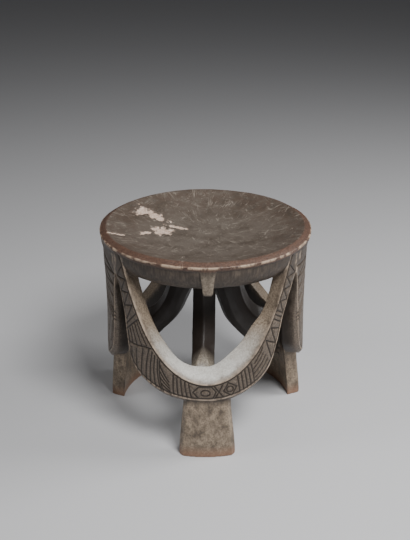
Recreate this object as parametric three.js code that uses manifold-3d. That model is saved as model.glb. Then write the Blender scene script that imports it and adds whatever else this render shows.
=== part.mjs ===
import * as THREE from "three";
import { mergeVertices } from "three/addons/utils/BufferGeometryUtils.js";
import Module from "manifold-3d";

// Sizes in millimetres, angles in degrees, Z up, seat axis on the Z axis, feet on Z = 0.
// The front of the stool looks towards -Y; angles run round the axis from the front to +X.

// seat
const SEAT_RADIUS = 150;
const RIM_TOP = 296;
const RIM_EDGE_HEIGHT = 291;
const RIM_BAND_WIDTH = 9.5;
const RIM_LIP_HEIGHT = 5;
const DISH_DEPTH = 27;
const SEAT_UNDERSIDE = 240;
const WALL_TOP_RADIUS = 146.6;
const WALL_LOW_RADIUS = 125;
const WALL_LOW_HEIGHT = 253;
const WALL_TURN = 0.86;
const SEAT_SEGMENTS = 60;

// legs: angle of each foot, lowest height of its crescent, angle and extra depth of its strut,
// radius and worn corner of its foot; and for either side the angle of the gap to the next leg,
// how full the lower edge is, how far the inner line reaches, how much the ledge rises inwards
// and the half width of the foot
const FRONT_LEG = {
  middle: 1.2, low: 85.5, strutAngle: -2, strutDepth: 0,
  footRadius: 147.7, footCorner: 5,
  left: { gap: -56.8, fullness: 45, lineReach: 51, ledgeRise: 8, footHalf: 40 },
  right: { gap: 58.4, fullness: 33, lineReach: 50, ledgeRise: 24, footHalf: 39.5 },
};
const RIGHT_LEG = {
  middle: 115.5, low: 80.5, strutAngle: 115.5, strutDepth: 13,
  footRadius: 149.6, footCorner: 2.5,
  left: { gap: 58.4, fullness: 46, lineReach: 41, ledgeRise: 10, footHalf: 42 },
  right: { gap: 180.4, fullness: 42, lineReach: 50, ledgeRise: 10, footHalf: 40 },
};
const LEFT_LEG = {
  middle: -114.7, low: 80.5, strutAngle: -114.7, strutDepth: 1,
  footRadius: 147.2, footCorner: 2.5,
  left: { gap: -179.6, fullness: 42, lineReach: 50, ledgeRise: 10, footHalf: 40 },
  right: { gap: -56.8, fullness: 48, lineReach: 41, ledgeRise: 10, footHalf: 44 },
};
const LEGS = [FRONT_LEG, RIGHT_LEG, LEFT_LEG];
const NOMINAL_REACH = 57.2;

// crescent panel of a leg, lying on the body of the log
const BODY_RADIUS_TOP = 145.5;
const BODY_RADIUS_WAIST = 143.4;
const BODY_RADIUS_LOW = 145.4;
const BODY_WAIST_HEIGHT = 195;
const BODY_FULL_SIDE = -114.7;
const BODY_FULL_SIDE_EXTRA = 2.6;
const WALL_FULL_SIDE_EXTRA = 2.1;
const PANEL_THICKNESS = 24.5;
const PANEL_ROUND_HEIGHT = 52;
const GAP_APEX_HEIGHT = 252;
const GAP_ROUND_HEIGHT = 80;
const GAP_ROUNDING = 4.2;
const HORN_TOP = 280;
const INNER_LINE_LOW = 116;
const INNER_LINE_TOP = 286;
const INNER_LINE_SQUARE_SHARE = 0.76;
const LEDGE_MIDDLE_RISE = 16;
const OPENING_REACH = 1.05;
const BORDER_CHAMFER_HEIGHT = 6;
const BORDER_CHAMFER_DEPTH = 4.6;
const CHAMFER_FADE_FROM = 170;
const BORDER_FADE_FROM = 228;
const BORDER_RIDGE = 1.3;
const BORDER_GROOVE_WIDTH = 2.8;
const BORDER_GROOVE_DEPTH = 1.9;
const FULL_BAND = 27;
const PANEL_STATIONS = 17;

// block foot
const FOOT_RADIUS_HIGH = 143.2;
const FOOT_THICKNESS = 20.5;
const FOOT_THICKNESS_HIGH = 22.5;
const FOOT_NARROWING = 6.5;
const FOOT_TOP = 98;

// curved strut from a crescent up to the middle of the seat
const STRUT_WIDTH = 32;
const STRUT_STATIONS = 10;

// tab hanging from the rim over each opening
const TAB_TOP_WIDTH = 21.5;
const TAB_LOW_WIDTH = 13.5;
const TAB_TOP = 287;
const TAB_LOW = 250.5;
const TAB_RADIUS = 149.4;
const TAB_ROOT_RADIUS = 122;

// carved lines
const GROOVE_WIDTH = 2.6;
const GROOVE_DEPTH = 1.7;

// wood
const WOOD_COLOUR = 0x4a3b30;
const WOOD_ROUGHNESS = 0.62;
const WOOD_METALNESS = 0;

const wasm = await Module();
wasm.setup();

const mix = (a, b, t) => a + (b - a) * t;
const clamp01 = (t) => Math.min(1, Math.max(0, t));
const smooth = (t) => clamp01(t) ** 2 * (3 - 2 * clamp01(t));
const radians = (degrees) => (degrees * Math.PI) / 180;

// closed triangle mesh as a solid for joining and cutting
function solidFrom(geometry) {
  const plain = geometry.clone();
  plain.deleteAttribute("normal");
  plain.deleteAttribute("uv");
  const merged = mergeVertices(plain, 1e-3);
  const corners = [];
  const index = merged.index.array;
  for (let i = 0; i < index.length; i += 3) {
    const [a, b, c] = [index[i], index[i + 1], index[i + 2]];
    if (a !== b && b !== c && c !== a) corners.push(a, b, c);
  }
  const mesh = new wasm.Mesh({
    numProp: 3,
    vertProperties: new Float32Array(merged.attributes.position.array),
    triVerts: new Uint32Array(corners),
  });
  return new wasm.Manifold(mesh);
}

// skin over rings of equally many points, closed with a flat fan at both ends
function loft(rings, endless = false) {
  const around = rings[0].length;
  const points = rings.flat();
  const corners = [];
  const last = endless ? rings.length : rings.length - 1;
  for (let i = 0; i < last; i++) {
    const here = i * around;
    const next = ((i + 1) % rings.length) * around;
    for (let j = 0; j < around; j++) {
      const k = (j + 1) % around;
      corners.push(here + j, here + k, next + k, here + j, next + k, next + j);
    }
  }
  if (!endless) {
    const end = (rings.length - 1) * around;
    for (let j = 1; j < around - 1; j++) {
      corners.push(0, j + 1, j);
      corners.push(end, end + j, end + j + 1);
    }
  }
  const geometry = new THREE.BufferGeometry();
  geometry.setAttribute(
    "position",
    new THREE.Float32BufferAttribute(points.flatMap((p) => [p.x, p.y, p.z]), 3),
  );
  geometry.setIndex(corners);
  return geometry;
}

// the same skin as a solid, turned right side out
function loftSolid(rings, endless = false) {
  const solid = solidFrom(loft(rings, endless));
  if (solid.volume() > 0) return solid;
  return solidFrom(loft(rings.map((ring) => [...ring].reverse()), endless));
}

function polar(angle, radius, height) {
  const a = radians(angle);
  return new THREE.Vector3(radius * Math.sin(a), -radius * Math.cos(a), height);
}

// share from 0 to 1 of how near an angle is to the side on which the log is fuller
const fullSideShare = (angle) => (0.5 + 0.5 * Math.cos(radians(angle - BODY_FULL_SIDE))) ** 3;

// outer radius of the log: waisted a little between rim and feet, fuller under the rim at the left
function bodyRadius(angle, height) {
  if (height > BODY_WAIST_HEIGHT) {
    const top = BODY_RADIUS_TOP + BODY_FULL_SIDE_EXTRA * fullSideShare(angle);
    const t = smooth((height - BODY_WAIST_HEIGHT) / (HORN_TOP - BODY_WAIST_HEIGHT));
    return mix(BODY_RADIUS_WAIST, top, t);
  }
  const t = smooth((BODY_WAIST_HEIGHT - height) / (BODY_WAIST_HEIGHT - FRONT_LEG.low));
  return mix(BODY_RADIUS_WAIST, BODY_RADIUS_LOW, t);
}

function makeSeat() {
  const profile = [];
  const ridge = SEAT_RADIUS - RIM_BAND_WIDTH;
  const dishSteps = 6;
  for (let i = 0; i <= dishSteps; i++) {
    const t = i / dishSteps;
    const out = Math.sin((t * Math.PI) / 2);
    profile.push([ridge * out, RIM_TOP - DISH_DEPTH * (1 - out ** 2.3)]);
  }
  profile.push([SEAT_RADIUS, RIM_EDGE_HEIGHT]);
  profile.push([SEAT_RADIUS - 1, RIM_EDGE_HEIGHT - RIM_LIP_HEIGHT]);
  const wallSteps = 4;
  const wallTop = RIM_EDGE_HEIGHT - RIM_LIP_HEIGHT;
  for (let i = 0; i <= wallSteps; i++) {
    const a = (i / wallSteps) * (Math.PI / 2) * WALL_TURN;
    profile.push([
      mix(WALL_LOW_RADIUS, WALL_TOP_RADIUS, Math.cos(a)),
      mix(wallTop - 0.8, WALL_LOW_HEIGHT, Math.sin(a)),
    ]);
  }
  profile.push([WALL_LOW_RADIUS - 12, SEAT_UNDERSIDE + 8]);
  profile.push([70, SEAT_UNDERSIDE + 2.5]);
  profile.push([0, SEAT_UNDERSIDE]);
  const points = profile.map(([r, z]) => new THREE.Vector2(r, z)).reverse();
  const lathe = new THREE.LatheGeometry(points, SEAT_SEGMENTS);
  lathe.rotateX(Math.PI / 2);
  const spots = lathe.attributes.position;
  for (let i = 0; i < spots.count; i++) {
    const spot = new THREE.Vector3().fromBufferAttribute(spots, i);
    const radius = Math.hypot(spot.x, spot.y);
    if (spot.z >= wallTop - 0.1 || radius < WALL_LOW_RADIUS) continue;
    const angle = (Math.atan2(spot.x, -spot.y) * 180) / Math.PI;
    const wider = 1 + (WALL_FULL_SIDE_EXTRA * fullSideShare(angle)) / radius;
    spots.setXYZ(i, spot.x * wider, spot.y * wider, spot.z);
  }
  return solidFrom(lathe);
}

// angle from the middle of the leg to the lower edge of the crescent at a height
function lowerEdgeAngle(height, side) {
  const v = clamp01((height - side.low) / PANEL_ROUND_HEIGHT);
  const bump = Math.sqrt(1 - (1 - v) ** 2);
  const climb = (height - side.low) / (GAP_APEX_HEIGHT - side.low);
  const below = clamp01((GAP_APEX_HEIGHT - height) / GAP_ROUND_HEIGHT);
  const rounding = GAP_ROUNDING * Math.sqrt(below) * (1 - below);
  const angle = side.fullness * bump + (NOMINAL_REACH - side.fullness) * climb - rounding;
  return (angle * side.reach) / NOMINAL_REACH;
}

// curves of the crescent unrolled: x = arc length on the body, y = height
class LowerEdge extends THREE.Curve {
  constructor(side) {
    super();
    this.side = side;
  }
  getPoint(t) {
    const height = mix(this.side.low, HORN_TOP, t ** 2.6);
    return new THREE.Vector2(
      radians(lowerEdgeAngle(height, this.side)) * BODY_RADIUS_LOW,
      height,
    );
  }
}

class InnerLine extends THREE.Curve {
  constructor(side, lifted) {
    super();
    this.side = side;
    this.lifted = lifted;
  }
  getPoint(t) {
    const height = INNER_LINE_LOW + (INNER_LINE_TOP - INNER_LINE_LOW) *
      (INNER_LINE_SQUARE_SHARE * t ** 2 + (1 - INNER_LINE_SQUARE_SHARE) * t ** 6);
    const rise = mix(LEDGE_MIDDLE_RISE, this.side.ledgeRise, smooth(t / 0.35));
    const raised = this.lifted ? rise * (1 - smooth((t - 0.55) / 0.3)) : 0;
    const wider = this.lifted ? OPENING_REACH : 1;
    const angle = (t * this.side.lineReach * wider * this.side.reach) / NOMINAL_REACH;
    return new THREE.Vector2(radians(angle) * BODY_RADIUS_LOW, height + raised);
  }
}

// points of both edges along a leg, from the tip of its left horn to the tip of its right horn
function crescentStations(leg) {
  const halves = [
    { ...leg.left, low: leg.low, reach: leg.middle - leg.left.gap, sign: -1 },
    { ...leg.right, low: leg.low, reach: leg.right.gap - leg.middle, sign: 1 },
  ];
  const rows = halves.map((side) => {
    const lower = new LowerEdge(side).getSpacedPoints(PANEL_STATIONS);
    const inner = new InnerLine(side, false).getSpacedPoints(PANEL_STATIONS);
    const opening = new InnerLine(side, true).getSpacedPoints(PANEL_STATIONS);
    const turn = (p) => ({
      angle: leg.middle + (side.sign * p.x * 180) / (Math.PI * BODY_RADIUS_LOW),
      height: p.y,
    });
    return lower.map((p, i) => ({
      lower: turn(p),
      inner: turn(inner[i]),
      opening: turn(opening[i]),
    }));
  });
  return [...rows[0].reverse(), ...rows[1].slice(1)];
}

const between = (a, b, t) => ({
  angle: mix(a.angle, b.angle, t),
  height: mix(a.height, b.height, t),
});
const onBody = (p, inset = 0) =>
  polar(p.angle, bodyRadius(p.angle, p.height) - inset, p.height);

// the chamfer under the lower border runs out towards the top of the gap between two legs
function chamferShare(height) {
  return 1 - 0.97 * smooth((height - CHAMFER_FADE_FROM) / (GAP_APEX_HEIGHT - CHAMFER_FADE_FROM));
}

// and so does the line cut along it, a little higher
function borderLineShare(height) {
  return 1 - 0.97 * smooth((height - BORDER_FADE_FROM) / (GAP_APEX_HEIGHT - BORDER_FADE_FROM));
}

// shares of the way from the lower edge to the inner line at which the borders turn
function bandShares(station) {
  const across = Math.hypot(
    radians(station.inner.angle - station.lower.angle) * BODY_RADIUS_LOW,
    station.inner.height - station.lower.height,
  );
  const scale = Math.min(1, across / FULL_BAND) / across;
  const edge = BORDER_CHAMFER_HEIGHT * scale * chamferShare(station.lower.height);
  const ridge = BORDER_RIDGE * scale;
  const groove = BORDER_GROOVE_WIDTH * scale;
  return {
    edge,
    lowFloor: edge + ridge + groove / 2,
    start: edge + ridge + groove,
    end: 1 - ridge - groove,
    highFloor: 1 - ridge - groove / 2,
  };
}

function makePanel(stations) {
  const rings = stations.map((s) => {
    const share = bandShares(s);
    const at = (t, inset) => onBody(between(s.lower, s.inner, t), inset);
    return [
      onBody(s.lower, BORDER_CHAMFER_DEPTH * chamferShare(s.lower.height)),
      at(share.edge, 0),
      at(share.lowFloor, BORDER_GROOVE_DEPTH * borderLineShare(s.lower.height)),
      at(share.start, 0),
      at(share.end, 0),
      at(share.highFloor, BORDER_GROOVE_DEPTH),
      onBody(s.inner),
      onBody(s.opening, PANEL_THICKNESS),
      onBody(between(s.opening, s.lower, 0.5), PANEL_THICKNESS),
      onBody(s.lower, PANEL_THICKNESS),
    ];
  });
  return loftSolid(rings);
}

function makeFoot(leg) {
  const levels = [0, 10, 34, 62, FOOT_TOP];
  const rings = levels.map((height) => {
    const t = height / FOOT_TOP;
    const outer = mix(leg.footRadius, FOOT_RADIUS_HIGH, smooth(t * 1.1));
    const inner = outer - mix(FOOT_THICKNESS, FOOT_THICKNESS_HIGH, t);
    const narrowing = FOOT_NARROWING * smooth(t * 1.15);
    const left = leg.left.footHalf - narrowing;
    const right = leg.right.footHalf - narrowing;
    const corner = leg.footCorner;
    const spots = [
      [outer, -left + corner], [outer, -left / 3], [outer, right / 3], [outer, right - corner],
      [outer - corner, right], [inner, right], [inner, right / 3], [inner, -left / 3],
      [inner, -left], [outer - corner, -left],
    ];
    return spots.map(([radius, across]) =>
      polar(leg.middle + (across / radius) * (180 / Math.PI), radius, height));
  });
  return loftSolid(rings);
}

function makeStrut(leg) {
  const upper = new THREE.CatmullRomCurve3([
    new THREE.Vector3(126, 0, 122),
    new THREE.Vector3(115, 0, 132),
    new THREE.Vector3(100, 0, 139),
    new THREE.Vector3(84, 0, 149),
    new THREE.Vector3(70, 0, 168),
    new THREE.Vector3(61, 0, 196),
    new THREE.Vector3(60, 0, 244),
  ]);
  const lower = new THREE.CatmullRomCurve3([
    new THREE.Vector3(132, 0, 58),
    new THREE.Vector3(117, 0, 66),
    new THREE.Vector3(96, 0, 85),
    new THREE.Vector3(76, 0, 105),
    new THREE.Vector3(45, 0, 142),
    new THREE.Vector3(24, 0, 186),
    new THREE.Vector3(-6, 0, 244),
  ]);
  const corner = 0.3;
  const outline = [
    [0, -1 + 2 * corner], [corner, -1], [1 - corner, -1], [1, -1 + 2 * corner],
    [1, 1 - 2 * corner], [1 - corner, 1], [corner, 1], [0, 1 - 2 * corner],
  ];
  const rings = [];
  for (let i = 0; i <= STRUT_STATIONS; i++) {
    const t = i / STRUT_STATIONS;
    const high = upper.getPoint(t);
    const low = lower.getPoint(t);
    const deeper = leg.strutDepth * Math.sin(Math.PI * t) ** 0.7;
    low.x -= deeper * 0.7;
    low.z -= deeper * 0.7;
    rings.push(outline.map(([depth, across]) => {
      const r = mix(low.x, high.x, depth);
      const point = new THREE.Vector3((across * STRUT_WIDTH) / 2, -r, mix(low.z, high.z, depth));
      return point.applyAxisAngle(new THREE.Vector3(0, 0, 1), radians(leg.strutAngle));
    }));
  }
  return loftSolid(rings);
}

function makeTab(leg) {
  const levels = [
    [TAB_LOW, TAB_LOW_WIDTH - 3], [TAB_LOW + 2, TAB_LOW_WIDTH],
    [mix(TAB_LOW, TAB_TOP, 0.5), mix(TAB_LOW_WIDTH, TAB_TOP_WIDTH, 0.42)],
    [TAB_TOP, TAB_TOP_WIDTH],
  ];
  const rings = levels.map(([height, width], i) => {
    const outer = TAB_RADIUS - (i === 0 ? 1.5 : 0);
    const root = TAB_ROOT_RADIUS;
    const half = (width / 2 / outer) * (180 / Math.PI);
    return [
      polar(leg.middle - half, outer, height), polar(leg.middle + half, outer, height),
      polar(leg.middle + half, root, height), polar(leg.middle - half, root, height),
    ];
  });
  return loftSolid(rings);
}

// place on the carved band: along runs from -1 at the left horn tip to 1 at the right,
// across from 0 at the lower border to 1 at the upper border
function bandSpot(stations, along, across) {
  const place = ((along + 1) / 2) * (stations.length - 1);
  const i = Math.min(stations.length - 2, Math.max(0, Math.floor(place)));
  const spots = [stations[i], stations[i + 1]].map((s) => {
    const share = bandShares(s);
    return between(s.lower, s.inner, mix(share.start, share.end, across));
  });
  return between(spots[0], spots[1], place - i);
}

// wedge that cuts a groove along spots on the body
function grooveSolid(spots, width, depth, endless = false) {
  const places = spots.map((p) => onBody(p));
  const rings = places.map((place, i) => {
    const before = places[endless ? (i + places.length - 1) % places.length : Math.max(0, i - 1)];
    const after = places[endless ? (i + 1) % places.length : Math.min(places.length - 1, i + 1)];
    const forward = after.clone().sub(before).normalize();
    const out = new THREE.Vector3(place.x, place.y, 0).normalize();
    const aside = new THREE.Vector3().crossVectors(out, forward).normalize();
    const above = 1.2;
    const spread = (width / 2) * (1 + above / depth);
    const lift = place.clone().addScaledVector(out, above);
    return [
      lift.clone().addScaledVector(aside, -spread),
      lift.clone().addScaledVector(aside, spread),
      place.clone().addScaledVector(out, -depth),
    ];
  });
  return loftSolid(rings, endless);
}

function line(stations, from, to) {
  const spots = [from, to].map(([along, across]) => bandSpot(stations, along, across));
  return grooveSolid(spots, GROOVE_WIDTH, GROOVE_DEPTH);
}

// oval ring, as on the middle of the band
function ringMotif(stations, along, radius) {
  const middle = bandSpot(stations, along, 0.5);
  const steps = 8;
  const spots = [];
  for (let i = 0; i < steps; i++) {
    const a = (i / steps) * Math.PI * 2;
    const arc = ((radius * 1.25 * Math.cos(a)) / BODY_RADIUS_LOW) * (180 / Math.PI);
    spots.push({ angle: middle.angle + arc, height: middle.height + radius * Math.sin(a) });
  }
  return grooveSolid(spots, GROOVE_WIDTH * 0.9, GROOVE_DEPTH, true);
}

// lines side by side between two places along the band
function hatch(stations, from, to, count, lean, low = 0.06, high = 0.94) {
  const cuts = [];
  for (let i = 0; i < count; i++) {
    const along = mix(from, to, count === 1 ? 0 : i / (count - 1));
    cuts.push(line(stations, [along, low], [along + lean, high]));
  }
  return cuts;
}

// zigzag up a horn
function zigzag(stations, from, to, count) {
  const cuts = [];
  for (let i = 0; i < count; i++) {
    const low = i % 2 === 0 ? 0.06 : 0.94;
    cuts.push(line(stations,
      [mix(from, to, i / count), low], [mix(from, to, (i + 1) / count), 1 - low]));
  }
  return cuts;
}

function carving(leg, stations) {
  const cuts = [
    ...zigzag(stations, -0.84, -0.52, 5),
    ...hatch(stations, -0.4, -0.22, 5, 0.02),
    ...hatch(stations, -0.13, -0.1, 1, 0),
    ...hatch(stations, 0.15, 0.2, 2, 0),
    ...hatch(stations, 0.26, 0.34, 3, 0.09),
    ...zigzag(stations, 0.52, 0.84, 5),
    ringMotif(stations, 0, 4.6),
  ];
  if (leg === FRONT_LEG) {
    cuts.push(...hatch(stations, -0.49, -0.45, 2, 0.05));
    cuts.push(ringMotif(stations, 0.09, 4.2));
  }
  return cuts;
}

function makeStool() {
  let body = makeSeat();
  const cuts = [];
  for (const leg of LEGS) {
    const stations = crescentStations(leg);
    for (const piece of [makePanel(stations), makeFoot(leg), makeStrut(leg), makeTab(leg)]) {
      body = body.add(piece);
    }
    cuts.push(...carving(leg, stations));
  }
  for (const cut of cuts) body = body.subtract(cut);
  return body;
}

function geometryFrom(solid) {
  const mesh = solid.getMesh();
  const geometry = new THREE.BufferGeometry();
  geometry.setAttribute("position", new THREE.Float32BufferAttribute(mesh.vertProperties, 3));
  geometry.setIndex(Array.from(mesh.triVerts));
  geometry.computeVertexNormals();
  return geometry;
}

const wood = new THREE.MeshStandardMaterial({
  color: WOOD_COLOUR,
  roughness: WOOD_ROUGHNESS,
  metalness: WOOD_METALNESS,
});

const stool = new THREE.Mesh(geometryFrom(makeStool()), wood);
stool.name = "carved_stool";

const part = new THREE.Group();
part.add(stool);

export default part;
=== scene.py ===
import math

import bpy
import numpy as np
from mathutils.kdtree import KDTree
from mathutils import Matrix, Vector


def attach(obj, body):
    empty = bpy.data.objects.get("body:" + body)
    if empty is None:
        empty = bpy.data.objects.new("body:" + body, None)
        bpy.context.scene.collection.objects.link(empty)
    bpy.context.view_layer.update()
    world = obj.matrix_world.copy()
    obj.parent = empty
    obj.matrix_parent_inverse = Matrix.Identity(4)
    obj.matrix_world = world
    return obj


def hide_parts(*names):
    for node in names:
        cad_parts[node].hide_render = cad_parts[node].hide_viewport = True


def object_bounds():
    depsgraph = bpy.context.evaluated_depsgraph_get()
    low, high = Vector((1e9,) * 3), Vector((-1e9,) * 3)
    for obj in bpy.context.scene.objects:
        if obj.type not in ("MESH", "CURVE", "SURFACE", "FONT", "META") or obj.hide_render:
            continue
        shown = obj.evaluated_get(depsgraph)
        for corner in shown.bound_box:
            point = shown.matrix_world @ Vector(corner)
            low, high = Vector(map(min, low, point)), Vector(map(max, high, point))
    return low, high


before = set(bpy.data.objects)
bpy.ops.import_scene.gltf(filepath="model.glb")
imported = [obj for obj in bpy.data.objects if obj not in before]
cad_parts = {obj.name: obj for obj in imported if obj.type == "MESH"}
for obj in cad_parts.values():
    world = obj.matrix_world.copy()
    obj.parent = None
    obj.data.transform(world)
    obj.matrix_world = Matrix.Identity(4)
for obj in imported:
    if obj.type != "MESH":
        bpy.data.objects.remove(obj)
cad_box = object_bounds()

# Shapes are worked out in millimetres and degrees and turned into metres at the end. Z is up,
# the front of the stool looks towards -Y, and angles run round the axis from the front to +X.
MM = 0.001

# seat
SEAT_RADIUS = 149.7
RIM_TOP = 295.8
RIM_EDGE_HEIGHT = 291
RIM_BAND_WIDTH = 9.5
RIM_LIP_HEIGHT = 5
DISH_DEPTH = 27
SEAT_UNDERSIDE = 240
WALL_TOP_RADIUS = 146.6
WALL_LOW_RADIUS = 125
WALL_LOW_HEIGHT = 253
WALL_TURN = 0.86

# legs, as in the solid: foot angle, lowest height of the crescent, strut, foot, and both sides
FRONT_LEG = {
    "name": "front", "middle": 1.2, "low": 85.5, "strut_angle": -2, "strut_depth": 0,
    "foot_radius": 147.7, "foot_corner": 5,
    "left": {"gap": -56.8, "fullness": 45, "line_reach": 51, "ledge_rise": 8, "foot_half": 40},
    "right": {"gap": 58.4, "fullness": 33, "line_reach": 50, "ledge_rise": 24, "foot_half": 39.5},
}
RIGHT_LEG = {
    "name": "right", "middle": 115.5, "low": 80.5, "strut_angle": 115.5, "strut_depth": 13,
    "foot_radius": 149.6, "foot_corner": 2.5,
    "left": {"gap": 58.4, "fullness": 46, "line_reach": 41, "ledge_rise": 10, "foot_half": 42},
    "right": {"gap": 180.4, "fullness": 42, "line_reach": 50, "ledge_rise": 10, "foot_half": 40},
}
LEFT_LEG = {
    "name": "left", "middle": -114.7, "low": 80.5, "strut_angle": -114.7, "strut_depth": 1,
    "foot_radius": 147.2, "foot_corner": 2.5,
    "left": {"gap": -179.6, "fullness": 42, "line_reach": 50, "ledge_rise": 10, "foot_half": 40},
    "right": {"gap": -56.8, "fullness": 48, "line_reach": 41, "ledge_rise": 10, "foot_half": 44},
}
LEGS = (FRONT_LEG, RIGHT_LEG, LEFT_LEG)
NOMINAL_REACH = 57.2

# crescent panels
BODY_RADIUS_TOP = 145.5
BODY_RADIUS_WAIST = 143.4
BODY_RADIUS_LOW = 145.4
BODY_WAIST_HEIGHT = 195
BODY_FULL_SIDE = -114.7
BODY_FULL_SIDE_EXTRA = 2.6
WALL_FULL_SIDE_EXTRA = 2.1
PANEL_THICKNESS = 24.5
PANEL_ROUND_HEIGHT = 52
GAP_APEX_HEIGHT = 252
GAP_ROUND_HEIGHT = 80
GAP_ROUNDING = 4.2
HORN_TOP = 280
INNER_LINE_LOW = 116
INNER_LINE_TOP = 286
INNER_LINE_SQUARE_SHARE = 0.76
LEDGE_MIDDLE_RISE = 16
OPENING_REACH = 1.05
CHAMFER_HEIGHT = 6
CHAMFER_DEPTH = 4.6
CHAMFER_FADE_FROM = 170
BORDER_RIDGE = 1.3
BORDER_GROOVE = 2.8
FULL_BAND = 27
PANEL_STATIONS = 90

# feet, struts and tabs
FOOT_RADIUS_HIGH = 143.2
FOOT_THICKNESS = 20.5
FOOT_THICKNESS_HIGH = 22.5
FOOT_NARROWING = 6.5
FOOT_TOP = 98
STRUT_WIDTH = 32
STRUT_UPPER = ((126, 122), (115, 132), (100, 139), (84, 149), (70, 168), (61, 196), (60, 244))
STRUT_LOWER = ((132, 58), (117, 66), (96, 85), (76, 105), (45, 142), (24, 186), (-6, 244))
TAB_TOP_WIDTH = 21.5
TAB_LOW_WIDTH = 13.5
TAB_TOP = 287
TAB_LOW = 250.5
TAB_RADIUS = 149.4
TAB_ROOT_RADIUS = 122

# mesh
VOXEL = 1.0
MOST_TRIANGLES = 190000


def mix(a, b, t):
    return a + (b - a) * t


def smooth(t):
    t = np.clip(t, 0, 1)
    return t * t * (3 - 2 * t)


def polar(angle, radius, height):
    a = np.radians(angle)
    spots = np.broadcast_arrays(radius * np.sin(a), -radius * np.cos(a), height)
    return np.stack(spots, axis=-1).astype(float)


def full_side_share(angle):
    return (0.5 + 0.5 * np.cos(np.radians(angle - BODY_FULL_SIDE))) ** 3


def body_radius(angle, height):
    """Outer radius of the log: waisted between rim and feet, fuller under the rim at the left."""
    top = BODY_RADIUS_TOP + BODY_FULL_SIDE_EXTRA * full_side_share(angle)
    up = smooth((height - BODY_WAIST_HEIGHT) / (HORN_TOP - BODY_WAIST_HEIGHT))
    down = smooth((BODY_WAIST_HEIGHT - height) / (BODY_WAIST_HEIGHT - FRONT_LEG["low"]))
    above = height > BODY_WAIST_HEIGHT
    return np.where(above, mix(BODY_RADIUS_WAIST, top, up), mix(BODY_RADIUS_WAIST, BODY_RADIUS_LOW, down))


def on_body(spot, inset=0.0):
    angle, height = spot[..., 0], spot[..., 1]
    return polar(angle, body_radius(angle, height) - inset, height)


# closed skins


def loft(rings, endless=False):
    """Points and faces of a skin over rings of equally many points, with flat ends."""
    count, around = rings.shape[:2]
    points = rings.reshape(-1, 3)
    faces = []
    for i in range(count if endless else count - 1):
        here = i * around
        there = ((i + 1) % count) * around
        for j in range(around):
            k = (j + 1) % around
            faces.append((here + j, here + k, there + k, there + j))
    if not endless:
        faces.append(tuple(range(around - 1, -1, -1)))
        faces.append(tuple((count - 1) * around + j for j in range(around)))
    middle = points.mean(axis=0)
    volume = 0.0
    for face in faces:
        a = points[face[0]] - middle
        for j in range(1, len(face) - 1):
            volume += np.dot(a, np.cross(points[face[j]] - middle, points[face[j + 1]] - middle))
    if volume < 0:
        faces = [tuple(reversed(face)) for face in faces]
    return points, faces


def seat_profile():
    """Radius and height from the middle of the underside up round the rim to the dish's middle."""
    ridge = SEAT_RADIUS - RIM_BAND_WIDTH
    wall_top = RIM_EDGE_HEIGHT - RIM_LIP_HEIGHT
    turn = np.linspace(0, 1, 26) * (math.pi / 2) * WALL_TURN
    wall = np.stack([mix(WALL_LOW_RADIUS, WALL_TOP_RADIUS, np.cos(turn)),
                     mix(wall_top - 0.8, WALL_LOW_HEIGHT, np.sin(turn))], axis=1)
    out = np.sin(np.linspace(1, 0.01, 50) * math.pi / 2)
    dish = np.stack([ridge * out, RIM_TOP - DISH_DEPTH * (1 - out ** 2.3)], axis=1)
    under = np.array([(0.5, SEAT_UNDERSIDE), (70, SEAT_UNDERSIDE + 2.5), (WALL_LOW_RADIUS - 12, SEAT_UNDERSIDE + 8)])
    rim = np.array([(SEAT_RADIUS - 1, wall_top), (SEAT_RADIUS, RIM_EDGE_HEIGHT)])
    return np.concatenate([under, wall[::-1], rim, dish])


def seat():
    profile = seat_profile()
    angles = np.arange(0, 360, 1.5)
    radius = np.repeat(profile[None, :, 0], len(angles), axis=0)
    height = np.repeat(profile[None, :, 1], len(angles), axis=0)
    wall = (height < RIM_EDGE_HEIGHT - RIM_LIP_HEIGHT - 0.1) & (radius > WALL_LOW_RADIUS)
    wider = WALL_FULL_SIDE_EXTRA * full_side_share(angles)[:, None]
    radius = np.where(wall, radius + wider, radius)
    rings = polar(angles[:, None], radius, height)
    return loft(np.swapaxes(rings, 0, 1))


def lower_edge(side, t):
    height = mix(side["low"], HORN_TOP, t ** 2.6)
    v = np.clip((height - side["low"]) / PANEL_ROUND_HEIGHT, 0, 1)
    bump = np.sqrt(1 - (1 - v) ** 2)
    climb = (height - side["low"]) / (GAP_APEX_HEIGHT - side["low"])
    below = np.clip((GAP_APEX_HEIGHT - height) / GAP_ROUND_HEIGHT, 0, 1)
    rounding = GAP_ROUNDING * np.sqrt(below) * (1 - below)
    angle = side["fullness"] * bump + (NOMINAL_REACH - side["fullness"]) * climb - rounding
    return np.stack([angle * side["reach"] / NOMINAL_REACH, height], axis=1)


def inner_line(side, t, lifted):
    rise_share = INNER_LINE_SQUARE_SHARE * t ** 2 + (1 - INNER_LINE_SQUARE_SHARE) * t ** 6
    height = mix(INNER_LINE_LOW, INNER_LINE_TOP, rise_share)
    angle = t * side["line_reach"] * side["reach"] / NOMINAL_REACH
    if lifted:
        rise = mix(LEDGE_MIDDLE_RISE, side["ledge_rise"], smooth(t / 0.35))
        height = height + rise * (1 - smooth((t - 0.55) / 0.3))
        angle = angle * OPENING_REACH
    return np.stack([angle, height], axis=1)


def evenly(curve, count):
    """Spots at equal distances along a curve of angle and height on the log."""
    t = np.linspace(0, 1, 401)
    path = curve(t)
    step = np.hypot(np.radians(np.diff(path[:, 0])) * BODY_RADIUS_LOW, np.diff(path[:, 1]))
    length = np.concatenate([[0], np.cumsum(step)])
    return curve(np.interp(np.linspace(0, length[-1], count + 1), length, t))


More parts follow.
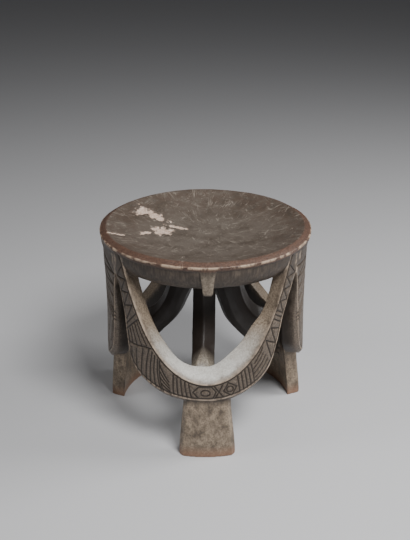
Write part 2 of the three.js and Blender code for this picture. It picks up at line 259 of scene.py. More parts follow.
def crescent_stations(leg, count):
    """Lower edge, inner line and opening line, from the tip of the left horn to the right one."""
    halves = []
    for key, sign in (("left", -1), ("right", 1)):
        side = dict(leg[key], low=leg["low"], reach=abs(leg[key]["gap"] - leg["middle"]))
        rows = [
            evenly(lambda t: lower_edge(side, t), count),
            evenly(lambda t: inner_line(side, t, False), count),
            evenly(lambda t: inner_line(side, t, True), count),
        ]
        for row in rows:
            row[:, 0] = leg["middle"] + sign * row[:, 0]
        halves.append(np.stack(rows))
    return np.concatenate([halves[0][:, ::-1], halves[1][:, 1:]], axis=1)


def chamfer_share(height):
    return 1 - 0.97 * smooth((height - CHAMFER_FADE_FROM) / (GAP_APEX_HEIGHT - CHAMFER_FADE_FROM))


def band_shares(lower, inner):
    """Shares of the way from lower edge to inner line: chamfer end, band start and band end."""
    across = np.hypot(np.radians(inner[:, 0] - lower[:, 0]) * BODY_RADIUS_LOW, inner[:, 1] - lower[:, 1])
    scale = np.minimum(1, across / FULL_BAND) / across
    edge = CHAMFER_HEIGHT * scale * chamfer_share(lower[:, 1])
    border = (BORDER_RIDGE + BORDER_GROOVE) * scale
    return edge, edge + border, 1 - border


# parts of the section of a crescent panel, as ranges of its points
PANEL_PARTS = {"band": (0, 11), "ledge": (11, 16), "inside": (16, 24)}
PANEL_SECTION = 24
REGIONS = ("seat", "band", "ledge", "inside", "foot", "strut", "tab")


def panel(leg):
    lower, inner, opening = crescent_stations(leg, PANEL_STATIONS)
    edge = band_shares(lower, inner)[0]
    chamfer = CHAMFER_DEPTH * chamfer_share(lower[:, 1])
    section = [on_body(lower, chamfer)]
    for t in np.linspace(0, 1, 10):
        section.append(on_body(mix(lower, inner, mix(edge, 1, t)[:, None])))
    for t in np.linspace(0.2, 1, 5):
        belly = 1.6 * math.sin(math.pi * t)
        spot = mix(inner, opening, t)
        spot[:, 1] += belly
        section.append(on_body(spot, PANEL_THICKNESS * t))
    for t in np.linspace(0.15, 1, 6):
        section.append(on_body(mix(opening, lower, t), PANEL_THICKNESS))
    for t in (0.33, 0.67):
        section.append(on_body(lower, mix(PANEL_THICKNESS, chamfer, t)))
    return loft(np.stack(section, axis=1))


def foot(leg):
    rings = []
    for height in np.linspace(0, FOOT_TOP, 26):
        t = height / FOOT_TOP
        outer = mix(leg["foot_radius"], FOOT_RADIUS_HIGH, smooth(t * 1.1))
        inner = outer - mix(FOOT_THICKNESS, FOOT_THICKNESS_HIGH, t)
        narrowing = FOOT_NARROWING * smooth(t * 1.15)
        left = leg["left"]["foot_half"] - narrowing
        right = leg["right"]["foot_half"] - narrowing
        corner = leg["foot_corner"]
        front = np.linspace(-left + corner, right - corner, 12)
        back = np.linspace(right, -left, 10)
        across = np.concatenate([front, [right], back, [-left]])
        radius = np.concatenate([np.full(12, outer), [outer - corner], np.full(10, inner), [outer - corner]])
        rings.append(polar(leg["middle"] + np.degrees(across / radius), radius, height))
    return loft(np.stack(rings))


def catmull_rom(corners, t):
    """Point on a smooth curve through corners, at t from 0 to 1."""
    corners = np.array(corners, float)
    place = t * (len(corners) - 1)
    i = min(int(place), len(corners) - 2)
    u = place - i
    before = corners[i - 1] if i > 0 else 2 * corners[0] - corners[1]
    after = corners[i + 2] if i + 2 < len(corners) else 2 * corners[-1] - corners[-2]
    a, b = corners[i], corners[i + 1]
    return 0.5 * (2 * a + (b - before) * u + (2 * before - 5 * a + 4 * b - after) * u ** 2
                  + (3 * a - before - 3 * b + after) * u ** 3)


def strut(leg):
    rings = []
    for t in np.linspace(0, 1, 44):
        high = catmull_rom(STRUT_UPPER, t)
        deeper = 0.7 * leg["strut_depth"] * math.sin(math.pi * t) ** 0.7
        low = catmull_rom(STRUT_LOWER, t) - deeper
        top_corner = mix(0.24, 0.47, smooth((t - 0.12) / 0.4))
        outline = np.array([
            (0, -0.45), (0.18, -0.9), (0.4, -1), (0.72, -1), (1 - top_corner * 0.6, -0.95),
            (1, -1 + 2 * top_corner), (1, 1 - 2 * top_corner),
            (1 - top_corner * 0.6, 0.95), (0.72, 1), (0.4, 1), (0.18, 0.9), (0, 0.45),
        ])
        radius = mix(low[0], high[0], outline[:, 0])
        height = mix(low[1], high[1], outline[:, 0])
        across = outline[:, 1] * STRUT_WIDTH / 2
        turn = math.radians(leg["strut_angle"])
        x = across * math.cos(turn) + radius * math.sin(turn)
        y = across * math.sin(turn) - radius * math.cos(turn)
        rings.append(np.stack([x, y, height], axis=1))
    return loft(np.stack(rings))


def tab(leg):
    rings = []
    for height in np.linspace(TAB_LOW, TAB_TOP, 12):
        t = (height - TAB_LOW) / (TAB_TOP - TAB_LOW)
        width = mix(TAB_LOW_WIDTH, TAB_TOP_WIDTH, t ** 1.2) - 3 * (1 - smooth(t * 12))
        outer = TAB_RADIUS - 1.5 * (1 - smooth(t * 12))
        half = math.degrees(width / 2 / outer)
        angles = leg["middle"] + half * np.array([-1, -0.4, 0.4, 1, 1, -1])
        radius = np.array([outer - 0.8, outer, outer, outer - 0.8, TAB_ROOT_RADIUS, TAB_ROOT_RADIUS])
        rings.append(polar(angles, radius, height))
    return loft(np.stack(rings))


# one skin round all parts


def mesh_from(points, faces, name):
    mesh = bpy.data.meshes.new(name)
    mesh.from_pydata((np.asarray(points) * MM).tolist(), [], faces)
    mesh.update()
    return mesh


def baked(obj):
    """Mesh of an object with its modifiers applied, which takes the place of its own."""
    graph = bpy.context.evaluated_depsgraph_get()
    mesh = bpy.data.meshes.new_from_object(obj.evaluated_get(graph))
    obj.modifiers.clear()
    obj.data = mesh
    return mesh


def joined_skin():
    """The stool as one skin, and the skins that it was joined from by region."""
    skins = {"seat": [seat()], "panel": [], "foot": [], "strut": [], "tab": []}
    for leg in LEGS:
        skins["panel"].append(panel(leg))
        skins["foot"].append(foot(leg))
        skins["strut"].append(strut(leg))
        skins["tab"].append(tab(leg))
    points = []
    faces = []
    total = 0
    for skin_points, skin_faces in sum(skins.values(), []):
        points.append(skin_points)
        faces += [tuple(i + total for i in face) for face in skin_faces]
        total += len(skin_points)
    obj = bpy.data.objects.new("stool", mesh_from(np.concatenate(points), faces, "stool"))
    bpy.context.scene.collection.objects.link(obj)
    remesh = obj.modifiers.new("one_skin", "REMESH")
    remesh.mode = "VOXEL"
    remesh.voxel_size = VOXEL * MM
    remesh.adaptivity = 0
    baked(obj)
    return obj, skins


def read_points(mesh):
    flat = np.empty(len(mesh.vertices) * 3)
    mesh.vertices.foreach_get("co", flat)
    return flat.reshape(-1, 3) / MM


def write_points(mesh, points):
    mesh.vertices.foreach_set("co", (points * MM).ravel())
    mesh.update()


def read_normals(mesh):
    flat = np.empty(len(mesh.vertices) * 3)
    mesh.vertex_normals.foreach_get("vector", flat)
    return flat.reshape(-1, 3)


def relaxed(mesh, points, rounds, share):
    """Points moved towards the middle of their neighbours, which rounds what the voxels left."""
    ends = np.empty(len(mesh.edges) * 2, int)
    mesh.edges.foreach_get("vertices", ends)
    a, b = ends.reshape(-1, 2).T
    both = np.concatenate([a, b])
    other = np.concatenate([b, a])
    count = np.bincount(both, minlength=len(points))
    for _ in range(rounds):
        near = np.stack([np.bincount(both, points[other, k], len(points)) for k in range(3)], axis=1)
        points = mix(points, near / count[:, None], share)
    return points


# noise that is the same on every run


def lattice_noise(points, size, seed):
    """Smooth random values from -1 to 1 with features of a size in millimetres."""
    cells = 64
    values = np.random.default_rng(seed).uniform(-1, 1, (cells, cells, cells))
    place = points / size
    low = np.floor(place).astype(int)
    share = smooth(place - low)
    total = np.zeros(len(points))
    for corner in np.ndindex(2, 2, 2):
        at = (low + corner) % cells
        weight = np.prod(np.where(np.array(corner) == 1, share, 1 - share), axis=1)
        total += weight * values[at[:, 0], at[:, 1], at[:, 2]]
    return total


# carving on the crescents, in places along (-1 to 1) and across (0 to 1) the carved band


def band_spots(stations, spots, steps):
    """Angle and height along straight strokes between spots of the band."""
    lower, inner, _ = stations
    _, start, end = band_shares(lower, inner)
    spots = np.array(spots, float)
    place = np.linspace(0, len(spots) - 1, steps * (len(spots) - 1) + 1)
    along = np.interp(place, np.arange(len(spots)), spots[:, 0])
    across = np.interp(place, np.arange(len(spots)), spots[:, 1])
    station = (along + 1) / 2 * (len(lower) - 1)
    index = np.arange(len(lower))
    share = mix(np.interp(station, index, start), np.interp(station, index, end), across)
    angle = mix(np.interp(station, index, lower[:, 0]), np.interp(station, index, inner[:, 0]), share)
    height = mix(np.interp(station, index, lower[:, 1]), np.interp(station, index, inner[:, 1]), share)
    return np.stack([angle, height], axis=1)


def hatch(top_from, top_to, low_from, low_to, count, top=0.97, low=-0.12):
    strokes = []
    for i in range(count):
        t = i / max(1, count - 1)
        strokes.append([(mix(top_from, top_to, t), top), (mix(low_from, low_to, t), low)])
    return strokes


def zigzag(start, end, count, low=-0.05, high=0.95):
    spots = [(mix(start, end, i / count), low if i % 2 == 0 else high) for i in range(count + 1)]
    return [spots]


def ladder(start, end, levels):
    return [[(start, across), (end, across)] for across in levels]


def ring(leg, stations, along, across, wide, high):
    """Closed oval round a spot of the band, as angle and height."""
    middle = band_spots(stations, [(along, across), (along, across)], 1)[0]
    a = np.linspace(0, 2 * math.pi, 25)
    arc = np.degrees(wide * np.cos(a) / BODY_RADIUS_LOW)
    return np.stack([middle[0] + arc, middle[1] + high * np.sin(a)], axis=1)


def front_strokes():
    strokes = []
    fan_count = 8
    for i in range(fan_count):
        t = i / (fan_count - 1)
        top = mix(0.0, 0.95, smooth(t * 1.5))
        strokes.append([(mix(-0.535, -0.345, t), top), (mix(-0.45, -0.238, t), -0.14)])
    strokes.append([(-0.56, -0.12), (-0.505, 0.35), (-0.45, 0.8), (-0.415, 0.98)])
    for across in (0.02, 0.24, 0.46, 0.68, 0.88):
        strokes.append([(-0.6, across), (mix(-0.552, -0.435, across), across)])
    triangle_count = 5
    for i in range(triangle_count):
        t = i / (triangle_count - 1)
        strokes.append([(mix(-0.318, -0.232, t), mix(0.88, -0.02, t)),
                        (mix(-0.222, -0.185, t), mix(0.5, -0.16, t))])
    strokes.append([(-0.33, 0.98), (-0.226, -0.14)])
    strokes += hatch(-0.215, -0.112, -0.172, -0.08, 5)
    strokes.append([(-0.08, 0.42), (-0.052, 0.97), (0.025, 0.97), (0.047, 0.5), (0.028, -0.08),
                    (-0.045, -0.08), (-0.08, 0.42)])
    strokes.append([(0.04, 1.0), (0.085, -0.1)])
    strokes.append([(0.088, 0.97), (0.038, -0.1)])
    strokes.append([(0.088, 0.42), (0.125, 0.97), (0.168, 0.42), (0.128, -0.12), (0.088, 0.42)])
    strokes += hatch(0.19, 0.3, 0.175, 0.268, 5)
    strokes += [[(0.285, across), (0.405, across + 0.12)] for across in (-0.12, 0.12, 0.36, 0.6)]
    strokes += [[(0.32, 0.82), (0.42, 0.95)]]
    strokes += zigzag(0.425, 0.585, 4)
    strokes += hatch(0.6, 0.655, 0.62, 0.67, 3)
    strokes += zigzag(0.675, 0.93, 7)
    strokes += hatch(-0.64, -0.605, -0.64, -0.615, 2)
    strokes += zigzag(-0.66, -0.93, 7)
    return strokes


def side_strokes():
    strokes = []
    strokes += zigzag(-0.93, -0.68, 7)
    strokes += hatch(-0.66, -0.62, -0.65, -0.61, 3)
    strokes += [[(-0.6, across), (-0.47, across + 0.08)] for across in (0.05, 0.3, 0.55, 0.8)]
    strokes += hatch(-0.45, -0.24, -0.42, -0.2, 9)
    strokes += zigzag(-0.2, -0.09, 3)
    strokes.append([(-0.08, 0.45), (-0.05, 0.97), (0.05, 0.97), (0.08, 0.45), (0.05, -0.08),
                    (-0.05, -0.08), (-0.08, 0.45)])
    strokes += hatch(0.1, 0.22, 0.1, 0.2, 5)
    strokes += zigzag(0.24, 0.44, 5)
    strokes += [[(0.46, across), (0.6, across - 0.06)] for across in (0.1, 0.35, 0.6, 0.85)]
    strokes += hatch(0.62, 0.66, 0.63, 0.67, 3)
    strokes += zigzag(0.68, 0.93, 7)
    return strokes


def leg_grooves(leg, stations):
    """Carved lines of a leg as (path of angle and height, width, depth)."""
    front = leg is FRONT_LEG
    grooves = []
    for stroke in front_strokes() if front else side_strokes():
        grooves.append((band_spots(stations, stroke, 4), 2.5, 1.35))
    rings = [(-0.012, 0.44, 6.4, 4.4), (0.127, 0.42, 4.6, 4.4)] if front else [(0, 0.44, 6, 4.4)]
    for along, across, wide, high in rings:
        grooves.append((ring(leg, stations, along, across, wide, high), 2.2, 1.4))
    lower, inner, _ = stations
    edge, start, end = band_shares(lower, inner)
    low_line = mix(lower, inner, ((edge + start) / 2 + (start - edge) * 0.16)[:, None])
    high_line = mix(lower, inner, (1 - (1 - end) * 0.62)[:, None])
    fading = lower[:, 1] < GAP_APEX_HEIGHT - 8
    grooves.append((low_line[fading], 2.4, 1.5))
    grooves.append((high_line, 2.4, 1.6))
    return grooves


def stroke_depth(arc, height, path, width, depth, found):
    """Adds a rounded groove along a path to the depths found so far."""
    path_arc = np.radians(path[:, 0]) * BODY_RADIUS_LOW
    path_height = path[:, 1]
    for i in range(len(path) - 1):
        a = np.array([path_arc[i], path_height[i]])
        b = np.array([path_arc[i + 1], path_height[i + 1]])
        low = np.minimum(a, b) - width
        high = np.maximum(a, b) + width
        near = np.nonzero((arc > low[0]) & (arc < high[0]) & (height > low[1]) & (height < high[1]))[0]
        if len(near) == 0:
            continue
        spot = np.stack([arc[near], height[near]], axis=1)
        run = b - a
        t = np.clip(((spot - a) @ run) / max(1e-9, run @ run), 0, 1)
        away = np.linalg.norm(spot - a - t[:, None] * run, axis=1)
        cut = depth * np.clip(1 - (away / (width / 2)) ** 2, 0, 1) ** 0.75
        found[near] = np.maximum(found[near], cut)


def around(points):
    """Angle, radius and height of points."""
    angle = np.degrees(np.arctan2(points[:, 0], -points[:, 1]))
    return angle, np.hypot(points[:, 0], points[:, 1]), points[:, 2]


def angle_from(angle, middle):
    return (angle - middle + 180) % 360 - 180


def carve_depth(points):
    angle, radius, height = around(points)
    surface = body_radius(angle, height)
    on_face = (radius > surface - 4) & (radius < surface + 2.5) & (height > 70) & (height < 287)
    depth = np.zeros(len(points))
    for leg in LEGS:
        stations = crescent_stations(leg, PANEL_STATIONS)
        turned = angle_from(angle, leg["middle"])
        mine = np.nonzero(on_face & (np.abs(turned) < 66))[0]
        arc = np.radians(turned[mine]) * BODY_RADIUS_LOW
        found = np.zeros(len(mine))
        for path, width, deep in leg_grooves(leg, stations):
            shifted = path.copy()
            shifted[:, 0] -= leg["middle"]
            stroke_depth(arc, height[mine], shifted, width, deep, found)
        depth[mine] = np.maximum(depth[mine], found)
    return depth


# chips in the dish: middle, half length, half width, and the turn of the length from +X
CHIPS = (
    (-95, 66, 13, 6, 40),
    (-77, 66, 24, 9, -28),
    (-63, 22, 15, 14, 30),
    (-86, 4, 14, 4, 38),
    (-122, -30, 12, 3.2, 32),
    (-42, 39, 15, 3.5, -12),
)
SCRATCH_CENTRE = (-6.0, 38.0)


def chip_share(points):
    """1 inside the torn chips of the dish, 0 outside, with a ragged edge."""
    found = np.zeros(len(points))
    ragged = 0.55 * lattice_noise(points, 5, 5) + 0.35 * lattice_noise(points, 2.2, 6)
    for x, y, half_long, half_wide, turn in CHIPS:
        a = math.radians(turn)
        along = (points[:, 0] - x) * math.cos(a) + (points[:, 1] - y) * math.sin(a)
        aside = (points[:, 1] - y) * math.cos(a) - (points[:, 0] - x) * math.sin(a)
        away = np.hypot(along / half_long, aside / half_wide) + ragged
        found = np.maximum(found, smooth((1.05 - away) / 0.3))
    return found * (points[:, 2] > 266)


def shape_details(points, normals):
    """Grooves, chips and the uneven surface left by hand tools, as moved points."""
    angle, radius, height = around(points)
    standing = smooth((height - 0.5) / 4)
    wobble = 0.45 * lattice_noise(points, 26, 1) + 0.22 * lattice_noise(points, 9, 2)
    moved = points + normals * (wobble * standing - 1.1 * chip_share(points))[:, None]
    depth = carve_depth(points)
    inward = -np.stack([points[:, 0], points[:, 1], np.zeros(len(points))], axis=1) / radius[:, None]
    return moved + inward * depth[:, None]


def inside_cad_box(points):
    low = np.array(cad_box[0]) / MM
    high = np.array(cad_box[1]) / MM
    return np.clip(points, low, high)


def make_stool():
    obj, skins = joined_skin()
    mesh = obj.data
    points = relaxed(mesh, read_points(mesh), 2, 0.5)
    write_points(mesh, points)
    points = shape_details(points, read_normals(mesh))
    write_points(mesh, inside_cad_box(points))
    mesh.calc_loop_triangles()
    fewer = obj.modifiers.new("fewer_faces", "DECIMATE")
    fewer.ratio = min(1.0, MOST_TRIANGLES / len(mesh.loop_triangles))
    mesh = baked(obj)
    mesh.shade_smooth()
    return obj, skins


# surface attributes for the wood


def add_attribute(mesh, name, values):
    layer = mesh.attributes.new(name, "FLOAT", "POINT")
    layer.data.foreach_set("value", np.clip(values, 0, 1).astype(np.float32))


def nearest_region(points, skins):
    """Index of the region that each point lies on: the ledge and the insides are told apart."""
    rows = []
    for region, name in enumerate(REGIONS):
        source = "panel" if name in ("band", "ledge", "inside") else name
        for skin_points, _ in skins[source]:
            if source == "panel":
                sections = skin_points.reshape(-1, PANEL_SECTION, 3)
                first, last = PANEL_PARTS[name]
                skin_points = sections[:, first:last].reshape(-1, 3)
            rows.append((region, skin_points))
    tree = KDTree(sum(len(spots) for _, spots in rows))
    owner = []
    for region, spots in rows:
        for spot in spots:
            tree.insert(spot, len(owner))
            owner.append(region)
    tree.balance()
    owner = np.array(owner)
    return owner[[tree.find(point)[1] for point in points]]


def line_nearness(points, path_of, width):
    """1 on lines that run along the crescents, falling to 0 at half a width beside them."""
    angle, radius, height = around(points)
    found = np.zeros(len(points))
    on_face = np.abs(radius - body_radius(angle, height)) < 4
    for leg in LEGS:
        stations = crescent_stations(leg, PANEL_STATIONS)
        turned = angle_from(angle, leg["middle"])
        mine = np.nonzero(on_face & (np.abs(turned) < 66) & (height < 287))[0]
        path = path_of(stations)
        path[:, 0] -= leg["middle"]
        near = np.zeros(len(mine))
        stroke_depth(np.radians(turned[mine]) * BODY_RADIUS_LOW, height[mine], path, width, 1, near)
        found[mine] = np.maximum(found[mine], near)
    return found


def low_border(stations):
    lower, inner, _ = stations
    edge, start, _ = band_shares(lower, inner)
    return mix(lower, inner, mix(edge, start, 0.15)[:, None])


def high_border(stations):
    _, inner, _ = stations
    return inner.copy()


def mark_surfaces(mesh, skins):
    points = read_points(mesh)
    angle, radius, height = around(points)
    region = nearest_region(points, skins)
    for index, name in enumerate(REGIONS):
        mask = relaxed(mesh, np.repeat((region == index)[:, None].astype(float), 3, axis=1), 2, 0.6)
        add_attribute(mesh, name, mask[:, 0])
    add_attribute(mesh, "groove", carve_depth(points) / 1.3)
    worn = np.maximum(line_nearness(points, low_border, 3.0), line_nearness(points, high_border, 2.6))
    add_attribute(mesh, "worn", worn)
    add_attribute(mesh, "chip", chip_share(points))


# wood


class NodeBench:
    """Adds nodes to a material and links what it is given to their inputs."""

    def __init__(self, tree):
        self.tree = tree

    def add(self, kind, inputs=(), output=0, **settings):
        made = self.tree.nodes.new(kind)
        for name, value in settings.items():
            setattr(made, name, value)
        for key, value in dict(inputs).items():
            if isinstance(value, bpy.types.NodeSocket):
                self.tree.links.new(value, made.inputs[key])
            else:
                made.inputs[key].default_value = value
        return made.outputs[output]

    def math(self, operation, *values, clamp=False):
        return self.add("ShaderNodeMath", dict(enumerate(values)), operation=operation, use_clamp=clamp)

    def product(self, *values):
        total = values[0]
        for value in values[1:]:
            total = self.math("MULTIPLY", total, value)
        return total

    def ramp(self, value, low, high, start=0.0, end=1.0):
        """Value between low and high as a share between start and end, level beyond them."""
        inputs = {0: value, 1: low, 2: high, 3: start, 4: end}
        return self.add("ShaderNodeMapRange", inputs)

    def paint(self, under, over, share):
        inputs = {0: share, 6: under, 7: over}
        return self.add("ShaderNodeMix", inputs, output=2, data_type="RGBA")

    def attribute(self, name):
        return self.add("ShaderNodeAttribute", output=2, attribute_name=name)

    def vector(self, x, y, z):
        return self.add("ShaderNodeCombineXYZ", {0: x, 1: y, 2: z})

    def noise(self, place, stretch, detail=3.0, roughness=0.55):
        """Noise over a place in millimetres, whose features have the sizes in stretch."""
        shrink = tuple(1 / size for size in stretch)
        scaled = self.add("ShaderNodeVectorMath", {0: place, 1: shrink}, operation="MULTIPLY")
        inputs = {"Vector": scaled, "Scale": 1.0, "Detail": detail, "Roughness": roughness}
        return self.add("ShaderNodeTexNoise", inputs)

    def hairlines(self, place, stretch, width, detail=1.0):
        """Thin lines where a stretched noise crosses its middle value."""
        away = self.math("ABSOLUTE", self.math("SUBTRACT", self.noise(place, stretch, detail), 0.5))
        return self.ramp(away, 0.0, width, 1.0, 0.0)


def seat_scratches(bench, place, x, y):
    """Scratches that spread from the middle of the dish, and others that cross them."""
    across = bench.math("SUBTRACT", x, SCRATCH_CENTRE[0])
    along = bench.math("SUBTRACT", y, SCRATCH_CENTRE[1])
    turn = bench.math("ARCTAN2", along, across)
    out = bench.math("SQRT", bench.math("ADD", bench.product(across, across), bench.product(along, along)))
    fan_place = bench.vector(bench.math("MULTIPLY", turn, 60.0), out, 0.0)
    fan = bench.hairlines(fan_place, (3.2, 70, 1), 0.022)
    found = bench.product(fan, bench.ramp(bench.noise(fan_place, (12, 30, 1)), 0.5, 0.62))
    for turn_angle, seed in ((0.25, 11.0), (1.05, 23.0), (1.9, 37.0), (2.7, 51.0)):
        ahead = bench.math("ADD", bench.math("MULTIPLY", x, math.cos(turn_angle)),
                           bench.math("MULTIPLY", y, math.sin(turn_angle)))
        aside = bench.math("SUBTRACT", bench.math("MULTIPLY", y, math.cos(turn_angle)),
                           bench.math("MULTIPLY", x, math.sin(turn_angle)))
        line_place = bench.vector(ahead, aside, seed * 10)
        lines = bench.hairlines(line_place, (55, 5, 1), 0.012)
        broken = bench.ramp(bench.noise(line_place, (16, 16, 1)), 0.52, 0.62)
        found = bench.math("MAXIMUM", found, bench.product(lines, broken))
    return found


def wood_material():
    material = bpy.data.materials.new("old_wood")
    material.use_nodes = True
    tree = material.node_tree
    tree.nodes.clear()
    bench = NodeBench(tree)
    metres = bench.add("ShaderNodeTexCoord", output=3)
    place = bench.add("ShaderNodeVectorMath", {0: metres, 1: (1000, 1000, 1000)}, operation="MULTIPLY")
    parts = tree.nodes.new("ShaderNodeSeparateXYZ")
    tree.links.new(place, parts.inputs[0])
    x, y, z = parts.outputs
    radius = bench.math("SQRT", bench.math("ADD", bench.product(x, x), bench.product(y, y)))

    broad = bench.noise(place, (34, 34, 34), 3.0)
    mottle = bench.noise(place, (9, 9, 14), 4.0, 0.6)
    speckle = bench.noise(place, (2.2, 2.2, 2.6), 3.0, 0.65)
    grain = bench.noise(place, (2.4, 2.4, 34), 4.0, 0.6)

    colour = bench.paint((0.035, 0.024, 0.017, 1), (0.115, 0.088, 0.066, 1), bench.ramp(mottle, 0.3, 0.7))
    colour = bench.paint(colour, (0.02, 0.013, 0.009, 1), bench.ramp(grain, 0.62, 0.42, 0.0, 0.6))

    # seat: grey patina over brown, redder and darker outwards, a red-brown rim, and a painted highlight along the
    # rim's outer edge
    facing = tree.nodes.new("ShaderNodeSeparateXYZ")
    normal = bench.add("ShaderNodeNewGeometry", output=1)
    tree.links.new(normal, facing.inputs[0])
    on_top = bench.product(bench.ramp(z, 262.0, 266.0), bench.ramp(facing.outputs[2], 0.5, 0.7))
    patina = bench.product(on_top, bench.ramp(broad, 0.36, 0.6, 0.35, 1.0))
    colour = bench.paint(colour, (0.105, 0.086, 0.070, 1), patina)
    brown = bench.product(on_top, bench.ramp(radius, 60.0, 132.0, 0.0, 0.6), bench.ramp(mottle, 0.35, 0.6))
    colour = bench.paint(colour, (0.060, 0.036, 0.024, 1), brown)
    scratches = bench.product(seat_scratches(bench, place, x, y), on_top)
    colour = bench.paint(colour, (0.30, 0.26, 0.215, 1), bench.product(scratches, 0.8))
    on_rim = bench.product(bench.ramp(radius, 138.5, 141.5), bench.ramp(z, 284.0, 287.0))
    rim_colour = bench.paint((0.05, 0.024, 0.016, 1), (0.14, 0.075, 0.05, 1), bench.ramp(speckle, 0.35, 0.7))
    colour = bench.paint(colour, rim_colour, bench.product(on_rim, 0.85))
    # painted highlight: a pale tan line where the sharp outer edge of the rim catches the light
    rim_edge_highlight = bench.product(bench.ramp(radius, 147.6, 149.0), bench.ramp(z, 287.5, 289.5),
                             bench.ramp(mottle, 0.42, 0.55))
    colour = bench.paint(colour, (0.42, 0.31, 0.22, 1), rim_edge_highlight)

    # smooth ledge of the crescents: tan on the horns, grey-white in the middle of the front one
    ledge = bench.attribute("ledge")
    tan = bench.paint((0.13, 0.09, 0.058, 1), (0.38, 0.31, 0.235, 1), bench.ramp(speckle, 0.3, 0.7))
    colour = bench.paint(colour, tan, bench.product(ledge, bench.ramp(z, 268.0, 235.0, 0.35, 1.0)))
    front = bench.ramp(y, -88.0, -112.0)
    low = bench.ramp(z, 190.0, 140.0)
    pale = bench.paint((0.42, 0.40, 0.36, 1), (0.62, 0.61, 0.57, 1), bench.ramp(speckle, 0.3, 0.7))
    colour = bench.paint(colour, pale, bench.product(ledge, front, low, bench.ramp(mottle, 0.25, 0.5, 0.6, 1.0)))

    # struts: mottled tan on the low part of the front one, and black-brown above it and on the side struts as
    # painted shadow of the seat
    strut_share = bench.attribute("strut")
    strut_colour = bench.paint((0.12, 0.095, 0.07, 1), (0.36, 0.32, 0.26, 1), bench.ramp(speckle, 0.3, 0.7))
    strut_low = bench.product(strut_share, bench.ramp(z, 172.0, 150.0), front)
    # painted shadow: every strut is black-brown where the seat shades it, and only the lit low front part keeps its
    # tan
    colour = bench.paint(colour, (0.022, 0.015, 0.011, 1), strut_share)
    colour = bench.paint(colour, strut_colour, strut_low)
    # painted shade: the inner faces of the crescents, under the seat, darkened to near-black
    colour = bench.paint(colour, (0.020, 0.014, 0.010, 1), bench.product(bench.attribute("inside"), 0.8))

    # feet: tan and grey, red-brown at the bottom
    foot_share = bench.attribute("foot")
    foot_colour = bench.paint((0.10, 0.075, 0.052, 1), (0.34, 0.265, 0.19, 1), bench.ramp(mottle, 0.32, 0.62))
    foot_colour = bench.paint(foot_colour, (0.07, 0.05, 0.036, 1), bench.ramp(speckle, 0.56, 0.36, 0.0, 0.6))
    colour = bench.paint(colour, foot_colour, bench.product(foot_share, bench.ramp(z, 90.0, 80.0)))
    bottom = bench.product(foot_share, bench.ramp(z, 18.0, 3.0), 0.7)
    colour = bench.paint(colour, (0.26, 0.13, 0.075, 1), bottom)

    # tabs, carved lines, worn borders and chips
    tab_colour = bench.paint((0.09, 0.07, 0.05, 1), (0.26, 0.215, 0.165, 1), bench.ramp(speckle, 0.3, 0.7))
    colour = bench.paint(colour, tab_colour, bench.product(bench.attribute("tab"), bench.ramp(z, 286.0, 276.0)))
    band = bench.attribute("band")
    band_colour = bench.paint((0.06, 0.043, 0.031, 1), (0.22, 0.175, 0.135, 1), bench.ramp(speckle, 0.3, 0.7))
    colour = bench.paint(colour, band_colour, bench.product(band, bench.ramp(z, 270.0, 200.0, 0.2, 0.75)))
    worn = bench.product(bench.attribute("worn"), bench.ramp(mottle, 0.3, 0.55))
    colour = bench.paint(colour, (0.42, 0.33, 0.25, 1), bench.product(worn, 0.8))
    colour = bench.paint(colour, (0.014, 0.009, 0.006, 1), bench.product(bench.attribute("groove"), 0.92))
    chip_colour = bench.paint((0.36, 0.22, 0.15, 1), (0.66, 0.54, 0.45, 1), bench.ramp(speckle, 0.3, 0.65))
    colour = bench.paint(colour, chip_colour, bench.attribute("chip"))

    rough = bench.ramp(mottle, 0.3, 0.7, 0.38, 0.58)
    relief = bench.math("ADD", bench.product(speckle, 0.5), bench.product(grain, 0.6))
    relief = bench.math("SUBTRACT", relief, bench.product(scratches, 0.6))
    bump = bench.add("ShaderNodeBump", {"Height": relief, "Strength": 0.5, "Distance": 0.0008})
    inputs = {"Base Color": colour, "Roughness": rough, "Normal": bump, "Specular IOR Level": 0.45}
    shader = bench.add("ShaderNodeBsdfPrincipled", inputs)
    output = tree.nodes.new("ShaderNodeOutputMaterial")
    tree.links.new(shader, output.inputs["Surface"])
    return material


# studio


def plain_material(name, colour, roughness):
    material = bpy.data.materials.new(name)
    material.use_nodes = True
    shader = material.node_tree.nodes["Principled BSDF"]
    shader.inputs["Base Color"].default_value = (*colour, 1)
    shader.inputs["Roughness"].default_value = roughness
    return material


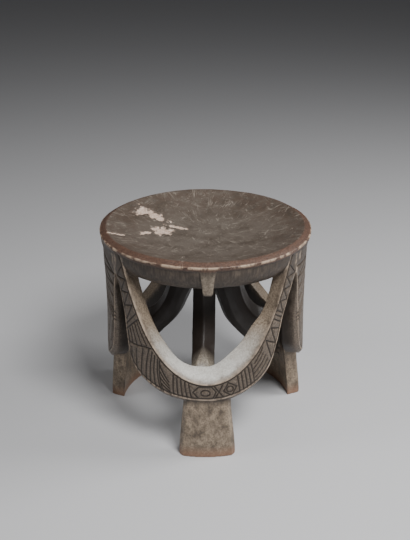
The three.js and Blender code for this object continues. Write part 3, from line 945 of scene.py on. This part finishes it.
def make_floor():
    half = 8.0
    mesh = bpy.data.meshes.new("floor")
    mesh.from_pydata([(-half, -half, 0), (half, -half, 0), (half, half, 0), (-half, half, 0)], [], [(0, 1, 2, 3)])
    mesh.materials.append(plain_material("pale_floor", (0.55, 0.55, 0.56), 0.7))
    floor = bpy.data.objects.new("floor", mesh)
    bpy.context.scene.collection.objects.link(floor)


def make_light(name, place, target, size, power):
    data = bpy.data.lights.new(name, "AREA")
    data.shape = "RECTANGLE"
    data.size, data.size_y = size
    data.energy = power
    light = bpy.data.objects.new(name, data)
    light.location = place
    direction = np.array(target) - np.array(place)
    pitch = math.atan2(math.hypot(direction[0], direction[1]), -direction[2])
    light.rotation_euler = (pitch, 0, math.atan2(direction[1], direction[0]) - math.pi / 2)
    bpy.context.scene.collection.objects.link(light)


def around_stool(azimuth, elevation, distance):
    """Place seen from the stool at an azimuth from the front to +X, in degrees and metres."""
    a, e = math.radians(azimuth), math.radians(elevation)
    return (distance * math.cos(e) * math.sin(a), -distance * math.cos(e) * math.cos(a),
            0.15 + distance * math.sin(e))


def make_studio():
    make_floor()
    target = (0, 0, 0.15)
    make_light("key_light", around_stool(28, 52, 1.7), target, (0.6, 0.6), 34)
    make_light("right_light", around_stool(95, 40, 1.7), target, (0.6, 0.6), 16)
    make_light("left_light", around_stool(-75, 42, 1.8), target, (0.6, 0.6), 6)
    world = bpy.data.worlds.new("studio")
    world.use_nodes = True
    world.node_tree.nodes["Background"].inputs[0].default_value = (0.6, 0.6, 0.62, 1)
    world.node_tree.nodes["Background"].inputs[1].default_value = 0.1
    bpy.context.scene.world = world


def make_camera():
    """The photograph's view: 1.2 m in front of the axis, pitched down, with no shift."""
    photo_height = 540
    focal_pixels = 910.5
    data = bpy.data.cameras.new("camera")
    data.sensor_fit = "VERTICAL"
    data.sensor_height = 24
    data.lens = focal_pixels / photo_height * data.sensor_height
    camera = bpy.data.objects.new("camera", data)
    camera.location = (-0.0005, -1.2, 0.7659)
    camera.rotation_euler = (math.pi / 2 - 0.4261, 0, 0)
    bpy.context.scene.collection.objects.link(camera)
    bpy.context.scene.camera = camera


make_camera()
stool, stool_skins = make_stool()
mark_surfaces(stool.data, stool_skins)
stool.data.materials.append(wood_material())
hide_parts("carved_stool")
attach(stool, "root")
make_studio()
